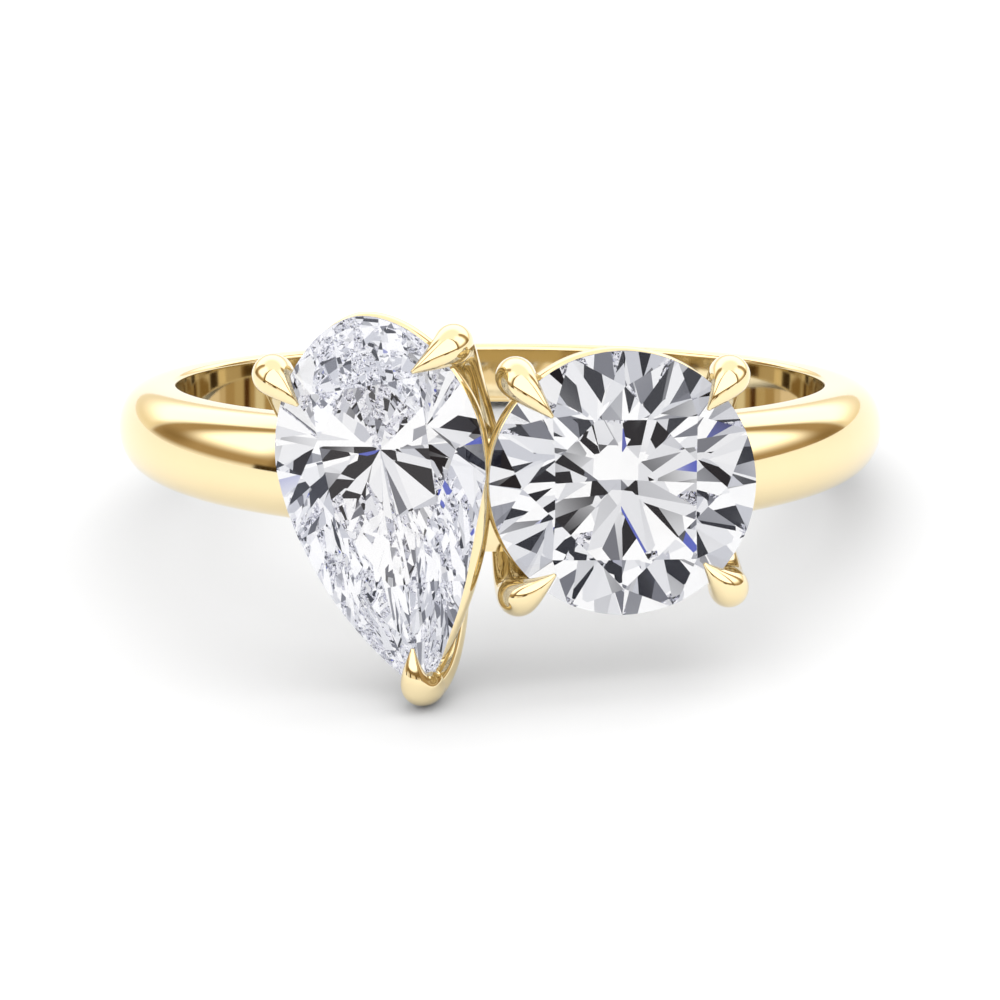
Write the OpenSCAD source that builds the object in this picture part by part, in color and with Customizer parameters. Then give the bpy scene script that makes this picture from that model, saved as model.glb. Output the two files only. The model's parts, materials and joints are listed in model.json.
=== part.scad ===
// Two-stone ring: a pear cut and a round brilliant side by side, each held by claws
// on its own gallery rail, soldered to a plain domed band.
// The ring lies on its side, as it would rest by itself, on the pear's toe claw and
// the back edge of the band. The origin is the middle of the finger hole,
// +Y runs to the back of the band and +Z is up. Sizes are in millimetres.

/* [Band] */
// inner diameter of the finger hole
bore_d = 17.3; // [16.5:0.1:18.5]
// width of the band at its back
band_w_back = 1.65; // [1.5:0.05:2]
// width of the band under the stones
band_w_front = 2.7; // [2.4:0.05:3]
// thickness of the band at its back
band_t_back = 1.3; // [1.1:0.05:1.6]
// thickness of the band under the stones
band_t_front = 1.75; // [1.6:0.05:2]
// flat edge beside the finger hole, as a share of the thickness
band_land = 0.22; // [0.16:0.02:0.34]
// fullness of the dome, a lower figure being fuller
dome_power = 0.7; // [0.6:0.05:1]

/* [Stones] */
// diameter of the round stone
round_d = 6.5; // [6.2:0.1:6.8]
// width of the pear stone
pear_w = 5.06; // [4.8:0.05:5.4]
// length of the pear stone to its toe
pear_l = 9.42; // [9:0.1:9.8]
// height of the pear's head above its widest line
pear_head = 3.37; // [3.1:0.05:3.6]
// lean of the pear, with its toe towards the round stone
pear_lean = 10; // [6:1:14]
// gap between the two stones
stone_gap = 0.07; // [0.05:0.01:0.2]
// where the two stones meet, to the right of the middle of the band
meet_x = -0.3; // [-0.5:0.05:0]
// centre of the round stone above the middle of the band
round_z = 0.33; // [0.1:0.05:0.5]
// widest line of the pear above the middle of the band
pear_z = 1.09; // [0.9:0.05:1.3]
// girdles above the wall of the finger hole
head_rise = 3.45; // [3.35:0.05:3.8]
// outward tilt of each stone
fan_deg = 3; // [1:0.5:4]

/* [Cut] */
// table as a share of the stone's width
table_share = 0.57; // [0.54:0.01:0.6]
// angle of the crown
crown_deg = 34.5; // [33:0.5:36]
// angle of the pavilion
pavilion_deg = 40.8; // [40:0.2:41.4]
// thickness of the girdle
girdle_t = 0.12; // [0.08:0.02:0.2]

/* [Claws and rails] */
// width of a claw's rounded end
claw_d = 1; // [0.9:0.05:1.1]
// length of a claw from its rounded end to its tip
claw_len = 1; // [0.9:0.05:1.1]
// how far the middle of a claw's end stands outside the girdle
claw_out = 0.42; // [0.38:0.02:0.5]
// diameter of a claw's post
post_d = 0.84; // [0.74:0.02:0.94]
// height of a gallery rail
rail_h = 0.68; // [0.58:0.02:0.78]
// top of a gallery rail below the middle of the girdle
rail_drop = 0.26; // [0.22:0.02:0.34]
// shift of each gallery rail towards the other stone
rail_shift = 0.08; // [0.04:0.02:0.12]
// height of the bridge block, measured along the finger
bridge_w = 2.8; // [2.5:0.1:3]
// clearance between a stone and its seat
seat_gap = 0.03; // [0.02:0.01:0.05]

/* [Rest] */
// where the band's back edge touches the surface, from the middle of the back
rest_turn = 21; // [16:1:26]

/* [Hidden] */

bore_r = bore_d / 2;
head_r = bore_r + head_rise;
pear_a = pear_w / 2;
pear_toe = pear_l - pear_head;
head_power = 1.8;
toe_power = 2.06;
star_share = 0.5;
lower_share = 0.77;
band_steps = 60;
dome_turns = [0, 7, 18, 32, 50, 70, 90, 110, 130, 148, 162, 173, 180];
tube_sides = 12;
post_steps = 7;
claw_steps = 6;
rail_steps = 56;

// outlines of the stones, seen from above, the pear with its toe down
function sgnpow(x, p) = sign(x) * pow(abs(x), p);
function pear_pt(t) =
    sin(t) >= 0
        ? [pear_a * sgnpow(cos(t), 2 / head_power), pear_head * pow(abs(sin(t)), 2 / head_power)]
        : [pear_a * sign(round(cos(t) * 1e6)) * (1 - pow(-sin(t), toe_power)), pear_toe * sin(t)];
function round_pt(t) = round_d / 2 * [cos(t), sin(t)];
function out_pt(k, t) = k == 0 ? pear_pt(t) : round_pt(t);
function unit(v) = v / norm(v);
function out_dir(k, t) =
    let (d = out_pt(k, t + 1) - out_pt(k, t - 1)) unit([d.y, -d.x]);
function half_w(k) = k == 0 ? pear_a : round_d / 2;
function crown_h(k) = half_w(k) * (1 - table_share) * tan(crown_deg);
function depth(k) = half_w(k) * tan(pavilion_deg);

// each stone's place: from its own frame, table up, to the ring's frame, finger along Z
pear_reach = max([for (t = [0:5:355]) let (p = pear_pt(t)) p.x * cos(pear_lean) - p.y * sin(pear_lean)]);
function lean(k) = k == 0 ? pear_lean : 0;
function fan(k) = k == 0 ? -fan_deg : fan_deg;
function seat(k) =
    k == 0 ? [meet_x - stone_gap / 2 - pear_reach, -head_r, pear_z]
           : [meet_x + stone_gap / 2 + round_d / 2, -head_r, round_z];
function place_pt(k, p) =
    let (x = p.x * cos(lean(k)) - p.y * sin(lean(k)),
         y = p.x * sin(lean(k)) + p.y * cos(lean(k)),
         f = fan(k))
    seat(k) + [x * cos(f) + p.z * sin(f), x * sin(f) - p.z * cos(f), y];
module place(k) {
    translate(seat(k))
        rotate([90, 0, 0])
            rotate([0, fan(k), 0])
                rotate([0, 0, lean(k)])
                    children();
}

// a cut stone: crown planes, pavilion planes and the girdle's outline, all meeting
function plane_z(a, b, c, q) =
    let (n = cross(b - a, c - a)) a.z - (n.x * (q.x - a.x) + n.y * (q.y - a.y)) / n.z;
function at(p, z) = [p.x, p.y, z];
function table_pt(k, j) = at(table_share * out_pt(k, 22.5 + 45 * j), girdle_t / 2 + crown_h(k));
star_z = (1 - (table_share * cos(22.5) + (1 - table_share * cos(22.5)) * star_share) * cos(22.5))
    / (1 - table_share);
function star_pt(k, j) =
    let (m = (table_pt(k, j - 1) + table_pt(k, j)) / 2, g = out_pt(k, 45 * j))
    at([m.x, m.y] * (1 - star_share) + g * star_share, girdle_t / 2 + crown_h(k) * star_z);
function low_pt(k, j) =
    at((1 - lower_share) * out_pt(k, 45 * j),
       -girdle_t / 2 - depth(k) * (1 - (1 - lower_share) * cos(22.5)));
function edge_pt(k, t, s) = at(out_pt(k, t) * 1.006, s * girdle_t / 2);
function half_pts(k, s, ext) = [
    for (j = [0:7])
        let (a = s > 0 ? star_pt(k, j) : low_pt(k, j),
             b = s > 0 ? star_pt(k, j + 1) : low_pt(k, j + 1),
             g0 = edge_pt(k, 45 * j, s),
             g1 = edge_pt(k, 22.5 + 45 * j, s),
             g2 = edge_pt(k, 45 + 45 * j, s),
             q = out_pt(k, 22.5 + 45 * j) * (1 + (ext - 1) * 0.3),
             z1 = plane_z(a, g0, g1, q),
             z2 = plane_z(b, g1, g2, q))
        each [a, a + (g0 - a) * ext, g1, at(q, s > 0 ? min(z1, z2) : max(z1, z2))]
];
module crown_cone(k) {
    pts = concat(half_pts(k, 1, 1.25), [for (j = [0:7]) table_pt(k, j)]);
    hull()
        polyhedron_cloud(concat(pts, [for (p = pts) at(p, -depth(k) - 1)]));
}
module pavilion_cone(k) {
    pts = concat(half_pts(k, -1, 1.1), [[0, 0, -girdle_t / 2 - depth(k)]]);
    hull()
        polyhedron_cloud(concat(pts, [for (p = pts) at(p, crown_h(k) + 1)]));
}
module polyhedron_cloud(pts) {
    polyhedron(pts, [for (i = [0:len(pts) - 3]) [i, i + 1, i + 2]]);
}
module stone(k) {
    intersection() {
        crown_cone(k);
        pavilion_cone(k);
        translate([0, 0, -depth(k) - 0.5])
            linear_extrude(depth(k) + crown_h(k) + 1)
                if (k == 0)
                    polygon([for (i = [0:63]) pear_pt((i + 0.5) * 360 / 64)]);
                else
                    polygon([for (i = [0:95]) round_pt((i + 0.5) * 360 / 96)]);
    }
}
function seat_scale(k) = 1 + seat_gap / (0.56 * half_w(k));
module seat_cut(k) {
    place(k)
        scale(seat_scale(k))
            stone(k);
}

// a skin over rings of points, each ring running right-handed about the way along
function ring_faces(n, m, closed) = [
    for (i = [0:n - (closed ? 1 : 2)], j = [0:m - 1])
        let (a = i * m + j,
             b = i * m + (j + 1) % m,
             c = ((i + 1) % n) * m + j,
             d = ((i + 1) % n) * m + (j + 1) % m)
        each [[a, c, d], [a, d, b]]
];
module skin(rings, closed) {
    n = len(rings);
    m = len(rings[0]);
    polyhedron(
        [for (r = rings) each r],
        concat(ring_faces(n, m, closed),
               closed ? [] : [[for (j = [0:m - 1]) j], [for (j = [m - 1:-1:0]) (n - 1) * m + j]]));
}

// the band: its width and thickness grow from the back to the front
function grow(a, b, t) = a + (b - a) * (1 - cos(t)) / 2;
function band_pt(t, u) =
    let (w = grow(band_w_back, band_w_front, t) / 2,
         th = grow(band_t_back, band_t_front, t),
         r = bore_r + th * (band_land + (1 - band_land) * pow(sin(u), dome_power)))
    [r * sin(t), r * cos(t), -w * cos(u)];
function band_ring(t) =
    let (w = grow(band_w_back, band_w_front, t) / 2, r = bore_r - 0.6)
    concat([for (u = dome_turns) band_pt(t, u)],
           [[r * sin(t), r * cos(t), w], [r * sin(t), r * cos(t), -w]]);
module band() {
    skin([for (i = [0:band_steps - 1]) band_ring(i * 360 / band_steps)], true);
}
module finger_hole() {
    cylinder(h = band_w_front + 8, r = bore_r, center = true, $fn = 120);
}

// a gallery rail under each girdle, rounded outside and leaning towards the other stone
rail_shape = [[1, 1], [1, 0], [0.6, -0.12], [0.22, -0.06], [0, 0.2], [-0.06, 0.5], [0, 0.8], [0.22, 1]];
function rail_ring(k, t) =
    let (m = rail_shift * (k == 0 ? 1 : -1) * [cos(lean(k)), -sin(lean(k))],
         o = out_pt(k, t) + m,
         i = out_pt(k, t) * 0.8 + m)
    [for (s = [len(rail_shape) - 1:-1:0])
        let (q = rail_shape[s], p = o + (i - o) * q.x)
        place_pt(k, at(p, -rail_drop - rail_h * (1 - q.y)))];
module rail(k) {
    skin([for (n = [0:rail_steps - 1]) rail_ring(k, n * 360 / rail_steps)], true);
}

// claws: where the end stands on the outline, how far out, turn of the tip, length,
// then the foot of the post on the band, its turn from the front and its height,
// and the sideways bend of the post across and along the stone
pear_claws_at = [
    [40, 1, -24, 1.08, -2, 0.6, 0, 0],
    [140, 1, -8, 0.9, -28, 0.55, 0, 0],
    [269.7, -0.5, 5, 1.02, -6.5, -0.6, 0.86, 0.42]
];
round_claws_at = [
    [45, 1.05, 6, 0.9, 30, 0.55, 0, 0],
    [135, 1, 0, 1.14, 8, 0.6, 0, 0],
    [227.5, 1.28, -11, 1.06, 1, -0.6, -0.14, 0],
    [315, 1.08, -2, 0.94, 30, -0.55, 0, 0]
];
function bez(a, b, c, d, t) =
    let (s = 1 - t) s * s * s * a + 3 * s * s * t * b + 3 * s * t * t * c + t * t * t * d;
function claw_end(k, c) = out_pt(k, c[0]) + claw_out * c[1] * out_dir(k, c[0]);
function claw_tip(k, c) =
    let (e = claw_end(k, c), a = atan2(-e.y, -e.x) + c[2]) e + claw_len * c[3] * [cos(a), sin(a)];
tip_r = 0.06;
end_drop = -0.25;
function tip_z(k, c) =
    let (q = claw_tip(k, c), g = out_pt(k, c[0]), w = norm(q) / norm(g))
    girdle_t / 2 + crown_h(k) * star_z * min(1, max(0, (1 - w) / (1 - table_share) * 2)) + tip_r * 0.8;
function claw_path(k, c) =
    let (foot_r = bore_r + band_t_front * 0.5,
         foot = [foot_r * sin(c[4]), -foot_r * cos(c[4]), c[5] * band_w_front / 2],
         way = [sin(c[4]), -cos(c[4]), 0],
         e = claw_end(k, c),
         q = claw_tip(k, c),
         top = place_pt(k, at(e, end_drop)),
         low = place_pt(k, at(e + claw_d * [c[6], c[7]], end_drop - 1.3)))
    concat(
        [for (i = [0:post_steps - 1])
            let (t = i / post_steps)
            [bez(foot, foot + way, low, top, t), (post_d + (claw_d - post_d) * t * t * t) / 2]],
        [for (i = [0:claw_steps])
            let (a = 90 * i / claw_steps,
                 w = 1 - cos(a),
                 slant = -0.4 * claw_d * [c[6], c[7]] * sin(a) * (1 - w))
            [place_pt(k, at(e + (q - e) * w + slant, end_drop + (tip_z(k, c) - end_drop) * sin(a))),
             claw_d / 2 + (tip_r - claw_d / 2) * w]]);
function tube_rings(path, side) = [
    for (i = [0:len(path) - 1])
        let (p = path[i][0],
             a = p - path[max(0, i - 1)][0],
             b = path[min(len(path) - 1, i + 1)][0] - p,
             t = unit(a / max(norm(a), 0.001) + b / max(norm(b), 0.001)),
             n = unit(side - (side * t) * t),
             m = cross(t, n))
        [for (j = [0:tube_sides - 1])
            let (g = (j + 0.5) * 360 / tube_sides)
            p + path[i][1] * (cos(g) * n + sin(g) * m)]
];
function claw_side(k, c) =
    let (e = claw_end(k, c), q = claw_tip(k, c), d = unit(q - e))
    unit(place_pt(k, at([-d.y, d.x], 0)) - place_pt(k, [0, 0, 0]));
function claw_rings(k, c) = tube_rings(claw_path(k, c), claw_side(k, c));
module claws(k) {
    for (c = k == 0 ? pear_claws_at : round_claws_at)
        skin(claw_rings(k, c), false);
}

// the block that joins the two rails to the band between the stones
module bridge() {
    translate([meet_x - 0.45, -head_r + rail_drop + rail_h * 0.5, -bridge_w / 2 - 0.07])
        cube([0.9, head_rise - rail_drop - rail_h * 0.5 - band_t_front * 0.5, bridge_w]);
}

// how the ring lies: a level plane through the lowest point of the toe claw that
// touches the band's lower back edge
function lowest(pts, n) =
    let (v = [for (p = pts) p * n], m = min(v)) pts[search(m, v)[0]];
toe_pts = [for (r = claw_rings(0, pear_claws_at[2])) each r];
back_turns = [for (u = dome_turns) if (u < 60) u];
function back_edge(n) =
    let (v = [for (u = back_turns) band_pt(rest_turn, u) * n], m = min(v)) back_turns[search(m, v)[0]];
function rest_up(i) =
    i == 0
        ? unit([0, 0.2, 1])
        : let (n = rest_up(i - 1),
               a = lowest(toe_pts, n),
               u = back_edge(n),
               p = band_pt(rest_turn, u),
               t = unit(band_pt(rest_turn + 0.5, u) - band_pt(rest_turn - 0.5, u)),
               m = unit(cross(t, p - a)))
          m.z > 0 ? m : -m;
up = rest_up(4);
right = unit([1, 0, 0] - up.x * up);
back = cross(up, right);
module lie() {
    multmatrix([
        [right.x, right.y, right.z, 0],
        [back.x, back.y, back.z, 0],
        [up.x, up.y, up.z, 0],
        [0, 0, 0, 1]])
        children();
}

// the gold: band, bridge, rails and claws soldered into one, open for finger and stones
module gold_mount() {
    color([0.93, 0.8, 0.48])
        lie()
            difference() {
                union() {
                    band();
                    bridge();
                    rail(0);
                    rail(1);
                    claws(0);
                    claws(1);
                }
                finger_hole();
                seat_cut(0);
                seat_cut(1);
            }
}
module pear_diamond() {
    color([0.9, 0.93, 0.97])
        lie()
            place(0)
                stone(0);
}
module round_diamond() {
    color([0.9, 0.93, 0.97])
        lie()
            place(1)
                stone(1);
}

gold_mount();
pear_diamond();
round_diamond();
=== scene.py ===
"""Looks of the toi et moi ring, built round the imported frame."""

import json
import math
from collections import namedtuple

import bmesh
import bpy
import numpy as np
from mathutils import Matrix, Vector


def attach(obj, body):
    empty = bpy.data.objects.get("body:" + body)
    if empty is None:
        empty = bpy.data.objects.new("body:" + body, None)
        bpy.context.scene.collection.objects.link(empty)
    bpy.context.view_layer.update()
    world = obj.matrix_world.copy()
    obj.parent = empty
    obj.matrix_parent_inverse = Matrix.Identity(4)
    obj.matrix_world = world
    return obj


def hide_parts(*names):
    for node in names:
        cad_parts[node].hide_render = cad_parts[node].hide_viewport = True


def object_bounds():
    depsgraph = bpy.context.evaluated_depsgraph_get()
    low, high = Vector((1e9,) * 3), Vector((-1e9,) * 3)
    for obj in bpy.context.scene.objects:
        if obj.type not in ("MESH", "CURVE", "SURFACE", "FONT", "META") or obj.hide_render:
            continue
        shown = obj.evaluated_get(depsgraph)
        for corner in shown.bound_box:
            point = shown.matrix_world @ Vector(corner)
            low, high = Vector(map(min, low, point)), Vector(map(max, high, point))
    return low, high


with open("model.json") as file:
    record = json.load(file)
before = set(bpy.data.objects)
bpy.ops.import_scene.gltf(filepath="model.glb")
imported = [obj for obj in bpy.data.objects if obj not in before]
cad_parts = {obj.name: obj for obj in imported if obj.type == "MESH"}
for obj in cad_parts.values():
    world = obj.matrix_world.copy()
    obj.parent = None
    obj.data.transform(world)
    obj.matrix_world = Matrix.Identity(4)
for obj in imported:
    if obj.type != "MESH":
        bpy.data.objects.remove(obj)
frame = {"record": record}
cad_lo, cad_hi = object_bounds()

MM = 0.001
PEAR = 0
ROUND = 1

# the band, in millimetres, each pair at the back and at the front
BORE_R = 8.65
BAND_W = (1.65, 2.7)
BAND_T = (1.3, 1.75)
LAND = 0.22
DOME = 0.7
BORE_ROUND = 0.13

# the stones: outlines, cut and seats
ROUND_R = 3.25
PEAR_A = 2.53
PEAR_L = 9.42
PEAR_HEAD = 3.37
PEAR_TOE = PEAR_L - PEAR_HEAD
HEAD_POWER = 2 / 1.8
TOE_POWER = 2.06
TABLE = 0.57
CROWN = 34.5
PAVILION = 40.8
GIRDLE = 0.12
STAR_S = 0.5
LOWER = 0.23
CROWN_SIDES = 8
SIDE_DEG = 360 / CROWN_SIDES
HALF_SIDE = SIDE_DEG / 2
MAINS = {PEAR: 12, ROUND: 8}
LEAN = {PEAR: 10.0, ROUND: 0}
FAN = {PEAR: -3.0, ROUND: 3.0}
SEAT_UP = {PEAR: 1.09, ROUND: 0.33}
GAP = 0.07
MEET_X = -0.3
HEAD_RISE = 3.45
HEAD_R = BORE_R + HEAD_RISE
SEAT_GAP = 0.03
IN_SHARE = 0.56

# the claws and their posts
CLAW_D = 1.0
CLAW_LEN = 1.0
CLAW_OUT = 0.42
POST_D = 0.84
POST_RISE = 1.3
END_DROP = -0.25
TIP_R = 0.06
TIP_SINK = 0.8

# the rails and the bridge between them
RAIL_H = 0.68
RAIL_DROP = 0.26
RAIL_SHIFT = 0.08
RAIL_IN = 0.8
BRIDGE_W = 2.8
BRIDGE_T = 0.9
BRIDGE_DOME = 0.25
BRIDGE_ROUND = 0.1
BRIDGE_DOWN = 0.07

# how finely round forms are drawn
BAND_STEPS = 300
DOME_STEPS = 48
BORE_STEPS = 8
RAIL_STEPS = 240
RAIL_ROUNDS = 3
CLAW_SIDES = 36
POST_STEPS = 36
CLAW_STEPS = 40
TIP_STEPS = 6
BRIDGE_STEPS = 16
CORNER_STEPS = 5
GIRDLE_SIDES = {PEAR: 96, ROUND: 128}
REACH_STEP = 5
SHARP_DEG = 32


def sin_deg(deg):
    return math.sin(math.radians(deg))


def cos_deg(deg):
    return math.cos(math.radians(deg))


def unit(v):
    return v / np.linalg.norm(v)


def at(p, z):
    return np.array([p[0], p[1], z])


# the ring's own frame, finger along Z and stones towards -Y, turned as it lies
def lie_matrix():
    mounts = frame["record"]["mounts"]
    axis = [np.array(m["axis"], float) for m in mounts if m["name"] == "finger_hole"][0]
    right_z, back_z, up_z = unit(axis)
    up_x = -abs(right_z) / math.sqrt(up_z * up_z + right_z * right_z)
    up_y = -back_z * math.sqrt(1 - up_x * up_x)
    up = unit(np.array([up_x, up_y, up_z]))
    right = unit(np.array([1.0, 0, 0]) - up[0] * up)
    return np.array([right, np.cross(up, right), up])


LIE = lie_matrix()


def to_row(points):
    """Points of the ring's own frame, in millimetres, in the row's frame, in metres."""
    return np.asarray(points, float) @ LIE.T * MM


# outlines of the stones in their own frames, table up
def pear_pt(t):
    s = sin_deg(t)
    c = cos_deg(t)
    if s >= 0:
        return np.array([PEAR_A * math.copysign(abs(c) ** HEAD_POWER, c), PEAR_HEAD * s**HEAD_POWER])
    return np.array([PEAR_A * math.copysign(1, c) * (1 - (-s) ** TOE_POWER), PEAR_TOE * s])


def out_pt(k, t):
    if k == PEAR:
        return pear_pt(t)
    return ROUND_R * np.array([cos_deg(t), sin_deg(t)])


def out_dir(k, t):
    d = out_pt(k, t + 1) - out_pt(k, t - 1)
    return unit(np.array([d[1], -d[0]]))


def half_w(k):
    return PEAR_A if k == PEAR else ROUND_R


def crown_h(k):
    return half_w(k) * (1 - TABLE) * math.tan(math.radians(CROWN))


def depth(k):
    return half_w(k) * math.tan(math.radians(PAVILION))


def pear_reach():
    """How far the leaning pear reaches to the right of its middle."""
    lean = LEAN[PEAR]
    rim = (pear_pt(t) for t in range(0, 360, REACH_STEP))
    return max(p[0] * cos_deg(lean) - p[1] * sin_deg(lean) for p in rim)


def seat(k):
    x = MEET_X - GAP / 2 - pear_reach() if k == PEAR else MEET_X + GAP / 2 + ROUND_R
    return np.array([x, -HEAD_R, SEAT_UP[k]])


SEATS = {PEAR: seat(PEAR), ROUND: seat(ROUND)}


def place(k, points):
    """Points of a stone's frame in the ring's frame: leaned, fanned outwards and seated."""
    p = np.asarray(points, float).reshape(-1, 3)
    lean, fan = LEAN[k], FAN[k]
    x = p[:, 0] * cos_deg(lean) - p[:, 1] * sin_deg(lean)
    y = p[:, 0] * sin_deg(lean) + p[:, 1] * cos_deg(lean)
    z = p[:, 2]
    out = [x * cos_deg(fan) + z * sin_deg(fan), x * sin_deg(fan) - z * cos_deg(fan), y]
    return SEATS[k] + np.stack(out, 1)


# meshes
def new_object(name, verts, faces):
    """A mesh with its faces turned outwards, linked to the scene."""
    mesh = bpy.data.meshes.new(name)
    mesh.from_pydata([tuple(v) for v in verts], [], [tuple(f) for f in faces])
    bm = bmesh.new()
    bm.from_mesh(mesh)
    bmesh.ops.recalc_face_normals(bm, faces=bm.faces)
    bm.to_mesh(mesh)
    bm.free()
    made = bpy.data.objects.new(name, mesh)
    bpy.context.scene.collection.objects.link(made)
    return made


def skin(rings, closed):
    """Vertices and faces of a skin over loops, closed to a ring or capped at both ends."""
    n, m = len(rings), len(rings[0])
    faces = []
    for i in range(n if closed else n - 1):
        for j in range(m):
            here, after = i * m, ((i + 1) % n) * m
            step = (j + 1) % m
            faces.append((here + j, after + j, after + step, here + step))
    if not closed:
        faces.append(tuple(range(m)))
        faces.append(tuple((n - 1) * m + j for j in range(m - 1, -1, -1)))
    return np.concatenate(rings), faces


# the band
def grow(pair, t):
    return pair[0] + (pair[1] - pair[0]) * (1 - cos_deg(t)) / 2


def band_ring(t):
    """The band's section at an angle from its back: domed outside, flat inside."""
    w = grow(BAND_W, t) / 2
    thick = grow(BAND_T, t)
    profile = []
    for i in range(DOME_STEPS + 1):
        u = math.pi * (1 - math.cos(math.pi * i / DOME_STEPS)) / 2
        r = BORE_R + thick * (LAND + (1 - LAND) * max(math.sin(u), 0) ** DOME)
        profile.append((r, -w * math.cos(u)))
    f = BORE_ROUND
    for side, order in ((1, range(0, BORE_STEPS + 1)), (-1, range(BORE_STEPS, -1, -1))):
        for i in order:
            g = math.pi / 2 * i / BORE_STEPS
            profile.append((BORE_R + f - f * math.sin(g), side * (w - f + f * math.cos(g))))
    return np.array([(r * sin_deg(t), r * cos_deg(t), z) for r, z in profile])


def band():
    return skin([band_ring(i * 360 / BAND_STEPS) for i in range(BAND_STEPS)], True)


# section of a gallery rail, as shares: inwards from the outline, upwards from its foot
RAIL_SHAPE = [(1, 1), (1, 0), (0.6, -0.12), (0.22, -0.06), (0, 0.2), (-0.06, 0.5), (0, 0.8), (0.22, 1)]


CORNER_CUT = 0.25


def round_loop(points, times):
    """Cuts the corners of a closed loop, several times over."""
    p = np.array(points, float)
    near, far = 1 - CORNER_CUT, CORNER_CUT
    for _ in range(times):
        q = np.roll(p, -1, 0)
        p = np.stack([near * p + far * q, far * p + near * q], 1).reshape(-1, p.shape[1])
    return p


def rail(k):
    shape = round_loop(RAIL_SHAPE, RAIL_ROUNDS)
    way = 1 if k == PEAR else -1
    shift = RAIL_SHIFT * way * np.array([cos_deg(LEAN[k]), -sin_deg(LEAN[k])])
    rings = []
    for i in range(RAIL_STEPS):
        outer = out_pt(k, i * 360 / RAIL_STEPS) + shift
        inner = out_pt(k, i * 360 / RAIL_STEPS) * RAIL_IN + shift
        section = [at(outer + (inner - outer) * q[0], -RAIL_DROP - RAIL_H * (1 - q[1])) for q in shape]
        rings.append(place(k, section))
    return skin(rings, True)


# angle on the outline, reach outwards, turn of the tip in degrees, length of the claw, angle and
# height of the foot on the band, bend of the post; all but the angles are shares
Claw = namedtuple("Claw", "stone name angle reach turn length foot_angle foot_up bend")
CLAWS = [
    Claw(PEAR, "claw_pear_right", 40, 1, -24, 1.08, -2, 0.6, (0, 0)),
    Claw(PEAR, "claw_pear_left", 140, 1, -8, 0.9, -28, 0.55, (0, 0)),
    Claw(PEAR, "claw_pear_toe", 269.7, -0.5, 5, 1.02, -6.5, -0.6, (0.86, 0.42)),
    Claw(ROUND, "claw_round_upper_right", 45, 1.05, 6, 0.9, 30, 0.55, (0, 0)),
    Claw(ROUND, "claw_round_upper_left", 135, 1, 0, 1.14, 8, 0.6, (0, 0)),
    Claw(ROUND, "claw_round_lower_left", 227.5, 1.28, -11, 1.06, 1, -0.6, (-0.14, 0)),
    Claw(ROUND, "claw_round_lower_right", 315, 1.08, -2, 0.94, 30, -0.55, (0, 0)),
]
BEND_BACK = 0.4
CLAW_EASE = 1.3
CLAW_POWER = 0.7
TANGENT_ROUNDS = 4


def star_share():
    """Height of the star facets' lower corners, as a share of the crown."""
    c = cos_deg(HALF_SIDE)
    return (1 - (TABLE * c + (1 - TABLE * c) * STAR_S) * c) / (1 - TABLE)


STAR_Z = star_share()


def tip_height(k, share):
    """Height of a claw's tip on the crown, at a share of the outline's distance."""
    on_crown = min(1, max(0, (1 - share) / (1 - TABLE) * 2))
    return GIRDLE / 2 + TIP_R * TIP_SINK + crown_h(k) * STAR_Z * on_crown


def post_line(claw, top, low):
    """Points and radii of a post, on a curve from the band to the claw."""
    way = np.array([sin_deg(claw.foot_angle), -cos_deg(claw.foot_angle), 0])
    foot_r = BORE_R + BAND_T[1] * 0.5
    foot = foot_r * way + np.array([0, 0, claw.foot_up * BAND_W[1] / 2])
    line = []
    for i in range(POST_STEPS):
        t = i / POST_STEPS
        s = 1 - t
        p = s**3 * foot + 3 * s * s * t * (foot + way) + 3 * s * t * t * low + t**3 * top
        line.append((p, (POST_D + (CLAW_D - POST_D) * t**3) / 2))
    return line


def claw_line(claw):
    """Points and radii of a claw with its post, and the direction across its tip."""
    k = claw.stone
    rim = out_pt(k, claw.angle)
    start = rim + CLAW_OUT * claw.reach * out_dir(k, claw.angle)
    a = math.atan2(-start[1], -start[0]) + math.radians(claw.turn)
    end = start + CLAW_LEN * claw.length * np.array([math.cos(a), math.sin(a)])
    tip_z = tip_height(k, np.linalg.norm(end) / np.linalg.norm(rim))
    bend = CLAW_D * np.array(claw.bend)
    top = place(k, at(start, END_DROP))[0]
    low = place(k, at(start + bend, END_DROP - POST_RISE))[0]
    line = post_line(claw, top, low)
    for i in range(CLAW_STEPS + 1):
        a = math.pi / 2 * (i / CLAW_STEPS) ** CLAW_EASE
        w = 1 - math.cos(a)
        slant = -BEND_BACK * bend * math.sin(a) * (1 - w)
        z = END_DROP + (tip_z - END_DROP) * math.sin(a) ** CLAW_POWER
        p = place(k, at(start + (end - start) * w + slant, z))[0]
        line.append((p, CLAW_D / 2 + (TIP_R - CLAW_D / 2) * w))
    d = unit(end - start)
    across = unit(place(k, at((-d[1], d[0]), 0))[0] - place(k, (0, 0, 0))[0])
    return np.array([p for p, _ in line]), [r for _, r in line], across


def circle(centre, r, u, v):
    turns = (2 * math.pi * j / CLAW_SIDES for j in range(CLAW_SIDES))
    return np.array([centre + r * (math.cos(h) * u + math.sin(h) * v) for h in turns])


def claw(c):
    """A claw with its post, round in section, with a small round tip."""
    points, radii, across = claw_line(c)
    tangents = np.gradient(points, axis=0)
    for _ in range(TANGENT_ROUNDS):
        tangents[1:-1] = (tangents[:-2] + 2 * tangents[1:-1] + tangents[2:]) / 4
    rings = []
    for p, r, t in zip(points, radii, tangents):
        t = unit(t)
        u = unit(across - (across @ t) * t)
        v = np.cross(t, u)
        rings.append(circle(p, r, u, v))
    for i in range(1, TIP_STEPS):
        h = math.pi / 2 * i / TIP_STEPS
        rings.append(circle(points[-1] + t * (TIP_R * math.sin(h)), TIP_R * math.cos(h), u, v))
    return skin(rings, False)


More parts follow.
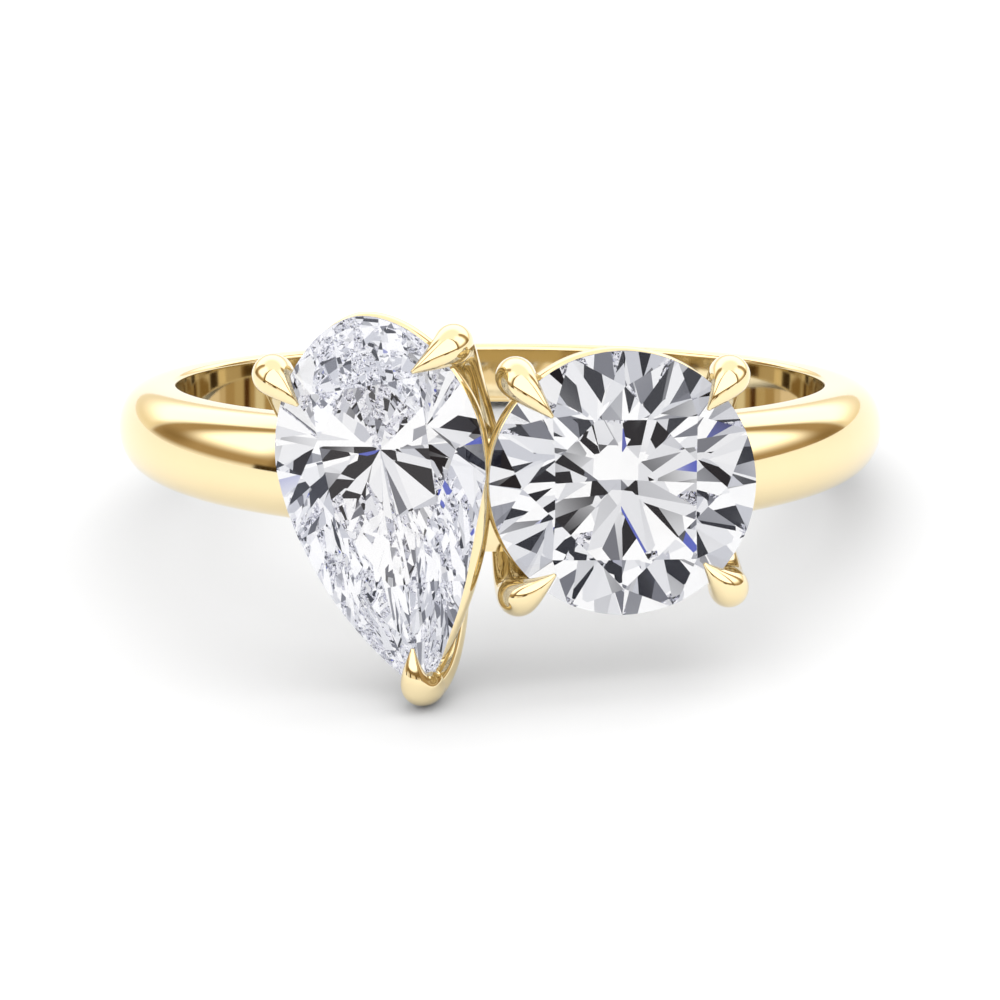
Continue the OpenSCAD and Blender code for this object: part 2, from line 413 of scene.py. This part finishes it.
def bridge():
    """The block between the stones, its front a little domed along its length."""
    x = MEET_X - BRIDGE_T / 2
    y_front = -HEAD_R + RAIL_DROP + RAIL_H * 0.5
    y_back = y_front + HEAD_RISE - RAIL_DROP - RAIL_H * 0.5 - BAND_T[1] * 0.5
    b = BRIDGE_ROUND
    rings = []
    for i in range(BRIDGE_STEPS + 1):
        t = i / BRIDGE_STEPS
        front = y_front - BRIDGE_DOME * (1 - (2 * t - 1) ** 2)
        z = BRIDGE_W * (t - 0.5) - BRIDGE_DOWN
        corners = [(BRIDGE_T - b, y_back - b), (b, y_back - b), (b, front + b), (BRIDGE_T - b, front + b)]
        loop = []
        for quarter, (cx, cy) in enumerate(corners):
            for j in range(CORNER_STEPS + 1):
                a = 90 * (quarter + j / CORNER_STEPS)
                loop.append((x + cx + b * cos_deg(a), cy + b * sin_deg(a), z))
        rings.append(np.array(loop))
    return skin(rings, False)


# cut stones, from the planes of their facets
ON_PLANE = 1e-9
SAME_POINT = 1e-7
ALONG_X = 0.8
WELD = 2e-4
BLANK = (8, 8, 4)


def cut_face(face, d):
    """The part of a polygon behind a plane, from its corners' distances, and the new corners."""
    kept, rim = [], []
    for i in range(len(face)):
        j = (i + 1) % len(face)
        if d[i] <= 0:
            kept.append(face[i])
        if (d[i] < 0 < d[j]) or (d[j] < 0 < d[i]):
            x = face[i] + (face[j] - face[i]) * d[i] / (d[i] - d[j])
            kept.append(x)
            rim.append(x)
        elif d[i] == 0:
            rim.append(face[i])
    return kept, rim


def in_order(rim, normal):
    """The corners of a convex cut, in order round it and without doubles."""
    r = np.array(rim)
    c = r.mean(0)
    other = (1, 0, 0) if abs(normal[0]) < ALONG_X else (0, 1, 0)
    u = unit(np.cross(normal, other))
    v = np.cross(normal, u)
    r = r[np.argsort(np.arctan2((r - c) @ v, (r - c) @ u))]
    return r[[i for i in range(len(r)) if np.linalg.norm(r[i] - r[i - 1]) > SAME_POINT]]


def clip(faces, point, normal):
    """Cuts a convex solid, a list of polygons, by a plane and closes the cut."""
    out, rim = [], []
    for f in faces:
        d = (f - point) @ normal
        if (d <= ON_PLANE).all():
            out.append(f)
        elif not (d >= -ON_PLANE).all():
            kept, new = cut_face(f, d)
            rim += new
            if len(kept) > 2:
                out.append(np.array(kept))
    if len(rim) > 2:
        cap = in_order(rim, normal)
        if len(cap) > 2:
            out.append(cap)
    return out


def block(x, y, z):
    q = np.array([[i, j, m] for i in (-x, x) for j in (-y, y) for m in (-z, z)], float)
    quads = [(0, 1, 3, 2), (4, 6, 7, 5), (0, 4, 5, 1), (2, 3, 7, 6), (0, 2, 6, 4), (1, 5, 7, 3)]
    return [q[list(f)] for f in quads]


def welded(faces):
    """Shared vertices and faces of a list of polygons."""
    near = [(a, b, c) for a in (0, -1, 1) for b in (0, -1, 1) for c in (0, -1, 1)]
    seen, verts, out = {}, [], []
    for f in faces:
        ids = []
        for p in f:
            key = tuple(np.round(p / WELD).astype(int))
            found = None
            for a, b, c in near:
                i = seen.get((key[0] + a, key[1] + b, key[2] + c))
                if i is not None and np.linalg.norm(verts[i] - p) < WELD:
                    found = i
            if found is None:
                found = len(verts)
                verts.append(p)
                seen[key] = found
            if not ids or ids[-1] != found:
                ids.append(found)
        if len(ids) > 1 and ids[0] == ids[-1]:
            ids.pop()
        if len(ids) > 2:
            out.append(tuple(ids))
    return np.array(verts), out


def table_pt(k, j):
    return at(TABLE * out_pt(k, HALF_SIDE + SIDE_DEG * j), GIRDLE / 2 + crown_h(k))


def star_pt(k, j):
    m = (table_pt(k, j - 1) + table_pt(k, j)) / 2
    g = out_pt(k, SIDE_DEG * j)
    return at(m[:2] * (1 - STAR_S) + g * STAR_S, GIRDLE / 2 + crown_h(k) * STAR_Z)


def culet(k):
    return np.array([0, 0, -GIRDLE / 2 - depth(k)])


def lower_pt(k, t):
    """Where a pavilion main ends below, between two lower halves."""
    c = cos_deg(180 / MAINS[k])
    return at(LOWER * out_pt(k, t), -GIRDLE / 2 - depth(k) * (1 - LOWER * c))


# a little outside the outline, so that the girdle's own faces stay whole
OVER_GIRDLE = 1.006


def edge(k, t, side):
    return at(out_pt(k, t) * OVER_GIRDLE, side * GIRDLE / 2)


def plane_of(a, b, c):
    n = unit(np.cross(b - a, c - a))
    return (a, n if n @ (a + b + c) > 0 else -n)


def crown_planes(k):
    out = [(np.array([0, 0, GIRDLE / 2 + crown_h(k)]), np.array([0, 0, 1.0]))]
    for j in range(CROWN_SIDES):
        t = SIDE_DEG * j
        middle = edge(k, t + HALF_SIDE, 1)
        out.append(plane_of(table_pt(k, j - 1), table_pt(k, j), star_pt(k, j)))
        out.append(plane_of(table_pt(k, j), star_pt(k, j), star_pt(k, j + 1)))
        out.append(plane_of(star_pt(k, j), edge(k, t, 1), middle))
        out.append(plane_of(star_pt(k, j + 1), middle, edge(k, t + SIDE_DEG, 1)))
    return out


def pavilion_planes(k):
    step = 360 / MAINS[k]
    half = step / 2
    out = []
    for j in range(MAINS[k]):
        t = step * j
        out.append(plane_of(culet(k), lower_pt(k, t), edge(k, half + t, -1)))
        out.append(plane_of(lower_pt(k, t), edge(k, t, -1), edge(k, t + half, -1)))
        out.append(plane_of(lower_pt(k, t + step), edge(k, t + half, -1), edge(k, t + step, -1)))
    return out


def stone(k):
    """Vertices and faces of a cut stone in its own frame."""
    faces = block(*BLANK)
    step = 360 / GIRDLE_SIDES[k]
    for i in range(GIRDLE_SIDES[k]):
        a = out_pt(k, (i + 0.5) * step)
        b = out_pt(k, (i + 0.5) * step + step)
        side = unit(np.array([b[1] - a[1], a[0] - b[0]]))
        faces = clip(faces, at(a, 0), at(side, 0))
    for point, normal in crown_planes(k) + pavilion_planes(k):
        faces = clip(faces, point, normal)
    return welded(faces)


def seat_cutters(stones):
    """The stones, a little larger, in millimetres in the ring's frame."""
    out = []
    for k, (verts, faces) in enumerate(stones):
        grown = verts * (1 + SEAT_GAP / (IN_SHARE * half_w(k)))
        out.append(new_object("seat_cutter_%d" % k, place(k, grown), faces))
    return out


def metal(name, verts, faces, cutters):
    """A gold piece with the seats cut out of it, in the row frame."""
    made = new_object(name, verts, faces)
    for i, cutter in enumerate(cutters):
        cut = made.modifiers.new("seat%d" % i, "BOOLEAN")
        cut.operation = "DIFFERENCE"
        cut.solver = "EXACT"
        cut.use_self = name == "claw_pear_toe"
        cut.object = cutter
    bpy.context.view_layer.update()
    depsgraph = bpy.context.evaluated_depsgraph_get()
    mesh = bpy.data.meshes.new_from_object(made.evaluated_get(depsgraph))
    mesh.validate()
    made.modifiers.clear()
    made.data = mesh
    co = np.zeros(len(mesh.vertices) * 3, np.float32)
    mesh.vertices.foreach_get("co", co)
    mesh.vertices.foreach_set("co", to_row(co.reshape(-1, 3)).astype(np.float32).ravel())
    mesh.polygons.foreach_set("use_smooth", [True] * len(mesh.polygons))
    mesh.set_sharp_from_angle(angle=math.radians(SHARP_DEG))
    mesh.update()
    return made


# node graphs
class Net:
    """Short names for the nodes that the materials and the world use."""

    def __init__(self, tree):
        self.tree = tree

    def new(self, kind, **inputs):
        """A node, with its inputs joined or set; an underscore stands for a space."""
        node = self.tree.nodes.new("ShaderNode" + kind)
        for name, value in inputs.items():
            self.put(node.inputs[name.replace("_", " ")], value)
        return node

    def put(self, socket, value):
        if isinstance(value, bpy.types.NodeSocket):
            self.tree.links.new(value, socket)
        elif isinstance(value, tuple) and len(value) == 3 and socket.type == "RGBA":
            socket.default_value = value + (1,)
        else:
            socket.default_value = value

    def math(self, operation, *values):
        node = self.new("Math")
        node.operation = operation
        for socket, value in zip(node.inputs, values):
            self.put(socket, value)
        return node.outputs[0]

    def dot(self, v, c):
        node = self.new("VectorMath")
        node.operation = "DOT_PRODUCT"
        self.put(node.inputs[0], v)
        self.put(node.inputs[1], tuple(c))
        return node.outputs["Value"]

    def soft(self, x, a, b):
        """Goes smoothly from 0 at a to 1 at b."""
        node = self.new("MapRange", Value=x, From_Min=a, From_Max=b)
        node.interpolation_type = "SMOOTHSTEP"
        return node.outputs["Result"]

    def mix(self, share, a, b):
        node = self.new("Mix")
        node.data_type = "RGBA"
        self.put(node.inputs["Factor"], share)
        for name, value in (("A", a), ("B", b)):
            self.put([i for i in node.inputs if i.name == name and i.type == "RGBA"][0], value)
        return [o for o in node.outputs if o.type == "RGBA"][0]

    def mix_shader(self, share, a, b):
        node = self.new("MixShader")
        for socket, value in zip(node.inputs, (share, a, b)):
            self.put(socket, value)
        return node.outputs[0]

    def noise(self, scale, detail=2.0):
        where = self.new("TexCoord").outputs["Object"]
        return self.new("TexNoise", Vector=where, Scale=scale, Detail=detail).outputs["Fac"]

    def ramp(self, share, first, last):
        node = self.new("ValToRGB", Fac=share)
        node.color_ramp.elements[0].color = first + (1,)
        node.color_ramp.elements[1].color = last + (1,)
        return node.outputs["Color"]


def new_material(name):
    material = bpy.data.materials.new(name)
    material.use_nodes = True
    material.node_tree.nodes.clear()
    return material, Net(material.node_tree)


# gold: two close tints, and a paler one where gold mirrors gold
GOLD_TINTS = ((0.94, 0.775, 0.46), (0.95, 0.795, 0.49))
GOLD_DEEP = (0.76, 0.72, 0.62)
GOLD_ROUGH = (0.045, 0.085)
TINT_GRAIN = 900.0
TINT_DETAIL = 3.0
ROUGH_GRAIN = 2500.0
SECOND_MIRROR = 1.5


def gold_material():
    material, net = new_material("polished_yellow_gold")
    tint = net.ramp(net.noise(TINT_GRAIN, TINT_DETAIL), *GOLD_TINTS)
    depth_now = net.new("LightPath").outputs["Glossy Depth"]
    tint = net.mix(net.math("GREATER_THAN", depth_now, SECOND_MIRROR), tint, GOLD_DEEP)
    rough = net.new("MapRange", Value=net.noise(ROUGH_GRAIN), To_Min=GOLD_ROUGH[0], To_Max=GOLD_ROUGH[1])
    surface = net.new("BsdfPrincipled", Base_Color=tint, Metallic=1.0, Roughness=rough.outputs["Result"])
    net.new("OutputMaterial", Surface=surface.outputs["BSDF"])
    return material


# diamond: tints, the outside's mirror image, and the inside's total reflection
DIAMOND_IOR = 2.42
DIAMOND_TINTS = ((0.985, 0.985, 0.99), (1.0, 1.0, 1.0))
DIAMOND_GRAIN = 400.0
SHEEN = {PEAR: (0.34, 0.355, 0.42), ROUND: (0.19, 0.195, 0.22)}
TURNS_BACK = (0.45, 0.95)


def diamond_material(name, sheen, least_mirror):
    """Clear stone; from inside, a face turns back all light past the critical angle."""
    material, net = new_material(name)
    tint = net.ramp(net.noise(DIAMOND_GRAIN), *DIAMOND_TINTS)
    fresnel = net.new("Fresnel", IOR=DIAMOND_IOR).outputs[0]
    inside = net.new("NewGeometry").outputs["Backfacing"]
    turned = net.math("MAXIMUM", net.soft(fresnel, *TURNS_BACK), least_mirror)
    from_inside = net.math("MULTIPLY", inside, turned)
    from_outside = net.math("MULTIPLY", net.math("SUBTRACT", 1.0, inside), fresnel)
    through = net.new("BsdfRefraction", Color=tint, Roughness=0.0, IOR=DIAMOND_IOR)
    mirror = net.new("BsdfGlossy", Color=net.mix(inside, sheen, tint), Roughness=0.0)
    share = net.math("ADD", from_inside, from_outside)
    cut = net.mix_shader(share, through.outputs[0], mirror.outputs[0])
    path = net.new("LightPath")
    unseen = net.math("MAXIMUM", path.outputs["Is Shadow Ray"], path.outputs["Is Diffuse Ray"])
    clear = net.new("BsdfTransparent").outputs[0]
    net.new("OutputMaterial", Surface=net.mix_shader(unseen, cut, clear))
    return material


# floor: pale and plain
FLOOR_HALF = 1.5
FLOOR_TINTS = ((0.90, 0.90, 0.90), (0.92, 0.92, 0.92))
FLOOR_GRAIN = 3.0
FLOOR_ROUGH = 0.6
FLOOR_SPECULAR = 0.2
# far more than any count of mirror images, so that light seen through a stone is left out
THROUGH_STONE = 100.0


def unseen_in_gold(net):
    """Where a mirror image shows the room and not the floor: gold in gold, and inside the ring."""
    path = net.new("LightPath").outputs
    through = net.math("MULTIPLY", path["Transmission Depth"], THROUGH_STONE)
    in_gold = net.math("SUBTRACT", path["Glossy Depth"], through)
    again = net.math("GREATER_THAN", in_gold, SECOND_MIRROR)
    where = net.new("TexCoord").outputs["Object"]
    x, y = (net.dot(where, d) for d in ((1, 0, 0), (0, 1, 0)))
    off = net.math("SQRT", net.math("ADD", net.math("MULTIPLY", x, x), net.math("MULTIPLY", y, y)))
    in_hole = net.math("LESS_THAN", off, BORE_R * MM)
    behind = net.math("MULTIPLY", in_hole, net.math("GREATER_THAN", y, 0.0))
    return net.math("MAXIMUM", again, net.math("MULTIPLY", behind, path["Is Glossy Ray"]))


def floor_material():
    material, net = new_material("floor_white")
    tint = net.ramp(net.noise(FLOOR_GRAIN), *FLOOR_TINTS)
    surface = net.new("BsdfPrincipled", Base_Color=tint, Roughness=FLOOR_ROUGH)
    surface.inputs["Specular IOR Level"].default_value = FLOOR_SPECULAR
    clear = net.new("BsdfTransparent").outputs[0]
    net.new("OutputMaterial", Surface=net.mix_shader(unseen_in_gold(net), surface.outputs[0], clear))
    return material


def add_floor():
    z = cad_lo[2]
    h = FLOOR_HALF
    mesh = bpy.data.meshes.new("floor")
    mesh.from_pydata([(-h, -h, z), (h, -h, z), (h, h, z), (-h, h, z)], [], [(0, 1, 2, 3)])
    mesh.materials.append(floor_material())
    floor = bpy.data.objects.new("floor", mesh)
    bpy.context.scene.collection.objects.link(floor)


# the camera as in the photo, a little above the plane of the finger hole; the photo's pixels give
# its focal length and how far the hole's middle is above the middle of the picture
CAMERA_EL = 8.84
CAMERA_DIST = 127.3
PHOTO_PX = 1000
FOCAL_PX = 4741.0
HOLE_PX = 420.2
SENSOR = 36
CLIP_M = (0.01, 20)


def add_camera():
    back = np.array([0, -cos_deg(CAMERA_EL), sin_deg(CAMERA_EL)])
    up = np.array([0, sin_deg(CAMERA_EL), cos_deg(CAMERA_EL)])
    drop = math.atan((PHOTO_PX / 2 - HOLE_PX) / FOCAL_PX)
    forward = -back * math.cos(drop) - up * math.sin(drop)
    upward = up * math.cos(drop) - back * math.sin(drop)
    turn = LIE @ np.array([[1, 0, 0], upward, -forward]).T
    data = bpy.data.cameras.new("camera")
    data.sensor_width = SENSOR
    data.lens = FOCAL_PX / PHOTO_PX * SENSOR
    data.clip_start, data.clip_end = CLIP_M
    camera = bpy.data.objects.new("camera", data)
    bpy.context.scene.collection.objects.link(camera)
    pose = Matrix([list(r) for r in turn]).to_4x4()
    pose.translation = Vector(LIE @ (back * CAMERA_DIST) * MM)
    camera.matrix_world = pose
    bpy.context.scene.camera = camera


# the room: level with the floor and square to the ring, with soft panels written as masks
ROOM_TILT = 10.5
# light lost where gold mirrors gold
DEEP_LOSS = 0.45
WHITE = (1.8, 1.78, 1.7)
LOW_ROOM = (1.0, 0.98, 0.94)
HIGH_ROOM = (1.18, 1.17, 1.12)
HORIZON_SOFT = 2.0

# what gold mirrors: azimuths either side of the stones' side, elevations, softness of each, colour
Stretch = namedtuple("Stretch", "az_from az_to el_from el_to soft_az soft_el colour")
ROOM = [
    Stretch(0, 180, -100, -50, 1, 25, (0.80, 0.72, 0.56)),
    Stretch(0, 131, -1, 49, 3, 3, (0.42, 0.30, 0.16)),
    Stretch(131, 180, -2, 12, 2, 4, (0.92, 0.82, 0.62)),
    Stretch(110, 128, 1, 12, 7, 6, (0.27, 0.18, 0.08)),
    Stretch(76, 113, 15, 62, 8, 8, WHITE),
    Stretch(0, 72, -9, 84, 2, 2, (0.24, 0.16, 0.07)),
    Stretch(0, 65, 13, 100, 2, 2, WHITE),
    Stretch(135, 180, 10, 42, 3, 8, WHITE),
    Stretch(35, 54, -9, 5, 1, 2, (0.80, 0.74, 0.66)),
    Stretch(54, 65, -9, 5, 1, 2, (1.25, 1.2, 1.1)),
    Stretch(20, 31, -9, 6, 1, 2, (0.10, 0.06, 0.02)),
    Stretch(0, 20, -9, 6, 1, 2, (0.90, 0.80, 0.64)),
    Stretch(65, 77, -9, 2, 1, 2, (0.05, 0.03, 0.01)),
    Stretch(134, 180, -26, -9, 2, 2, (0.92, 0.84, 0.66)),
    Stretch(79, 134, -26, -6, 1, 1, (0.37, 0.26, 0.12)),
    Stretch(95, 100, -26, -6, 1, 1, (0.67, 0.61, 0.46)),
    Stretch(103, 106.5, -26, -6, 1, 1, (0.055, 0.017, 0.002)),
    Stretch(106.5, 112, -26, -6, 1, 1, (0.45, 0.35, 0.19)),
    Stretch(118, 122, -26, -6, 1, 1, (0.54, 0.43, 0.27)),
    Stretch(122, 134, -26, -6, 1, 1, (0.70, 0.59, 0.44)),
]

# what the stones mirror: azimuth to the right, elevation, half sizes, softness, colour
DARK = (0.012, 0.012, 0.018)
GREY = (0.20, 0.205, 0.235)
PALE = (0.68, 0.69, 0.74)
BLUE = (0.12, 0.15, 0.58)
LOW_SKY = (0.90, 0.905, 0.93)
HIGH_SKY = (1.06, 1.06, 1.07)
SKY_TOP = 0.9
Panel = namedtuple("Panel", "az el half_az half_el soft colour")
GEMS = [
    Panel(60, 35, 14, 50, 6, PALE),
    Panel(-75, 30, 10, 50, 6, PALE),
    Panel(-50, 50, 5, 20, 2, GREY),
    Panel(40, 30, 5, 40, 2, GREY),
    Panel(30, 12, 3, 12, 2, PALE),
    Panel(-32, 10, 4, 40, 2, GREY),
    Panel(0, 66, 60, 6, 4, PALE),
    Panel(0, 0, 70, 4, 3, GREY),
    Panel(-12, 30, 3, 8, 1, PALE),
    Panel(-18, 20, 3.2, 60, 1, DARK),
    Panel(18, 20, 3.4, 60, 1, DARK),
    Panel(0, 44, 60, 3, 1, DARK),
    Panel(0, 20, 5, None, 1, DARK),
    Panel(23, 10, 1.2, 12, 0.5, BLUE),
    Panel(-24, 34, 0.7, 3, 0.5, BLUE),
]

# the soft light on the floor, stronger from one side
SOFT_SIDE = (0.85, 0.5, 0.2)
SOFT_LIGHT = ((1.0, 1.0, 1.0), (1.6, 1.6, 1.6))


def direction(az, el):
    """Azimuth 0 towards the stones' side, 90 to the right, elevation above the floor."""
    x = sin_deg(az) * cos_deg(el)
    y = -cos_deg(az) * cos_deg(el)
    z = sin_deg(el)
    c, s = cos_deg(ROOM_TILT), sin_deg(ROOM_TILT)
    return LIE @ np.array([x, y * c - z * s, y * s + z * c])


def stretch_mask(net, az, el, p):
    """1 between two azimuths, counted both ways, and two elevations."""
    above = net.soft(el, p.el_from - p.soft_el, p.el_from + p.soft_el)
    below = net.soft(el, p.el_to + p.soft_el, p.el_to - p.soft_el)
    mask = net.math("MULTIPLY", above, below)
    if p.az_from > 0:
        mask = net.math("MULTIPLY", mask, net.soft(az, p.az_from - p.soft_az, p.az_from + p.soft_az))
    if p.az_to < 180:
        mask = net.math("MULTIPLY", mask, net.soft(az, p.az_to + p.soft_az, p.az_to - p.soft_az))
    return mask


def panel_mask(net, vec, p):
    """1 inside a rectangle of directions, or within a circle where it has no half height."""
    c = direction(p.az, p.el)
    if p.half_el is None:
        return net.soft(net.dot(vec, c), cos_deg(p.half_az + p.soft), cos_deg(p.half_az))
    u = unit(np.cross([0, 0, 1.0], c))
    v = np.cross(c, u)
    x, y, z = (net.dot(vec, d) for d in (u, v, c))
    soft = math.radians(p.soft)
    sides = []
    for along, half in ((x, math.radians(p.half_az)), (y, math.radians(p.half_el))):
        off = net.math("ABSOLUTE", net.math("ARCTAN2", along, z))
        sides.append(net.soft(off, half + soft, half - soft))
    return net.math("MULTIPLY", *sides)


def room_colour(net, vec):
    x, y, z = (net.dot(vec, direction(*d)) for d in ((90, 0), (0, 0), (0, 90)))
    to_deg = 180 / math.pi
    az = net.math("MULTIPLY", net.math("ABSOLUTE", net.math("ARCTAN2", x, y)), to_deg)
    level = net.math("MINIMUM", net.math("MAXIMUM", z, -1.0), 1.0)
    el = net.math("MULTIPLY", net.math("ARCSINE", level), to_deg)
    colour = net.mix(net.soft(el, -HORIZON_SOFT, HORIZON_SOFT), LOW_ROOM, HIGH_ROOM)
    for p in ROOM:
        colour = net.mix(stretch_mask(net, az, el, p), colour, p.colour)
    return colour


def gems_colour(net, vec):
    up = net.dot(vec, direction(0, 90))
    colour = net.mix(net.soft(up, 0.0, SKY_TOP), LOW_SKY, HIGH_SKY)
    for p in GEMS:
        colour = net.mix(panel_mask(net, vec, p), colour, p.colour)
    return colour


def add_world():
    world = bpy.data.worlds.new("studio")
    bpy.context.scene.world = world
    world.use_nodes = True
    world.node_tree.nodes.clear()
    net = Net(world.node_tree)
    vec = net.new("TexCoord").outputs["Generated"]
    path = net.new("LightPath").outputs
    deep = net.math("GREATER_THAN", path["Glossy Depth"], SECOND_MIRROR)
    dim = net.math("SUBTRACT", 1.0, net.math("MULTIPLY", deep, DEEP_LOSS))
    side = net.soft(net.dot(vec, unit(np.array(SOFT_SIDE))), -1.0, 1.0)
    room = net.new("Background", Color=room_colour(net, vec), Strength=dim)
    gems = net.new("Background", Color=gems_colour(net, vec))
    plain = net.new("Background", Color=(1.0, 1.0, 1.0))
    soft = net.new("Background", Color=net.mix(side, *SOFT_LIGHT))
    seen = net.mix_shader(path["Is Transmission Ray"], room.outputs[0], gems.outputs[0])
    seen = net.mix_shader(path["Is Camera Ray"], seen, plain.outputs[0])
    seen = net.mix_shader(path["Is Diffuse Ray"], seen, soft.outputs[0])
    net.new("OutputWorld", Surface=seen)
    world.cycles.sampling_method = "NONE"


# the pieces
def add_gold(stones):
    """The pieces of the mount, each with the stones' seats cut out of it."""
    cutters = seat_cutters(stones)
    made = [metal("band_visual", *band(), cutters)]
    made.append(metal("bridge_visual", *bridge(), cutters))
    for k, name in ((PEAR, "rail_pear"), (ROUND, "rail_round")):
        made.append(metal(name, *rail(k), cutters))
    for c in CLAWS:
        made.append(metal(c.name, *claw(c), cutters))
    for cutter in cutters:
        bpy.data.objects.remove(cutter)
    gold = gold_material()
    for o in made:
        o.data.materials.clear()
        o.data.materials.append(gold)
        o.visible_transmission = False
        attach(o, "root")
    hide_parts("gold_mount")


def add_stone(k, name, verts, faces):
    """A cut stone, its pavilion a full mirror from inside."""
    made = new_object(name + "_cut", to_row(place(k, verts)), faces)
    made.data.materials.append(diamond_material(name + "_crown", SHEEN[k], 0.0))
    made.data.materials.append(diamond_material(name + "_pavilion", SHEEN[k], 1.0))
    below = [min(verts[i][2] for i in f) < -GIRDLE / 2 - WELD / 2 for f in faces]
    made.data.polygons.foreach_set("material_index", np.array(below).astype(int))
    made.data.polygons.foreach_set("use_smooth", [False] * len(faces))
    made.data.update()
    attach(made, "root")
    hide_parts(name)


STONE_BOUNCES = 64
FLOOR_BOUNCES = 3


def set_look():
    scene = bpy.context.scene
    scene.view_settings.view_transform = "Standard"
    scene.cycles.max_bounces = STONE_BOUNCES
    scene.cycles.transmission_bounces = STONE_BOUNCES
    scene.cycles.glossy_bounces = STONE_BOUNCES
    scene.cycles.diffuse_bounces = FLOOR_BOUNCES
    scene.cycles.caustics_reflective = False
    scene.cycles.caustics_refractive = False
    scene.cycles.use_denoising = True
    scene.cycles.denoiser = "OPENIMAGEDENOISE"


def main():
    stones = [stone(PEAR), stone(ROUND)]
    add_gold(stones)
    for k, name in ((PEAR, "pear_diamond"), (ROUND, "round_diamond")):
        add_stone(k, name, *stones[k])
    add_camera()
    add_floor()
    add_world()
    set_look()


main()
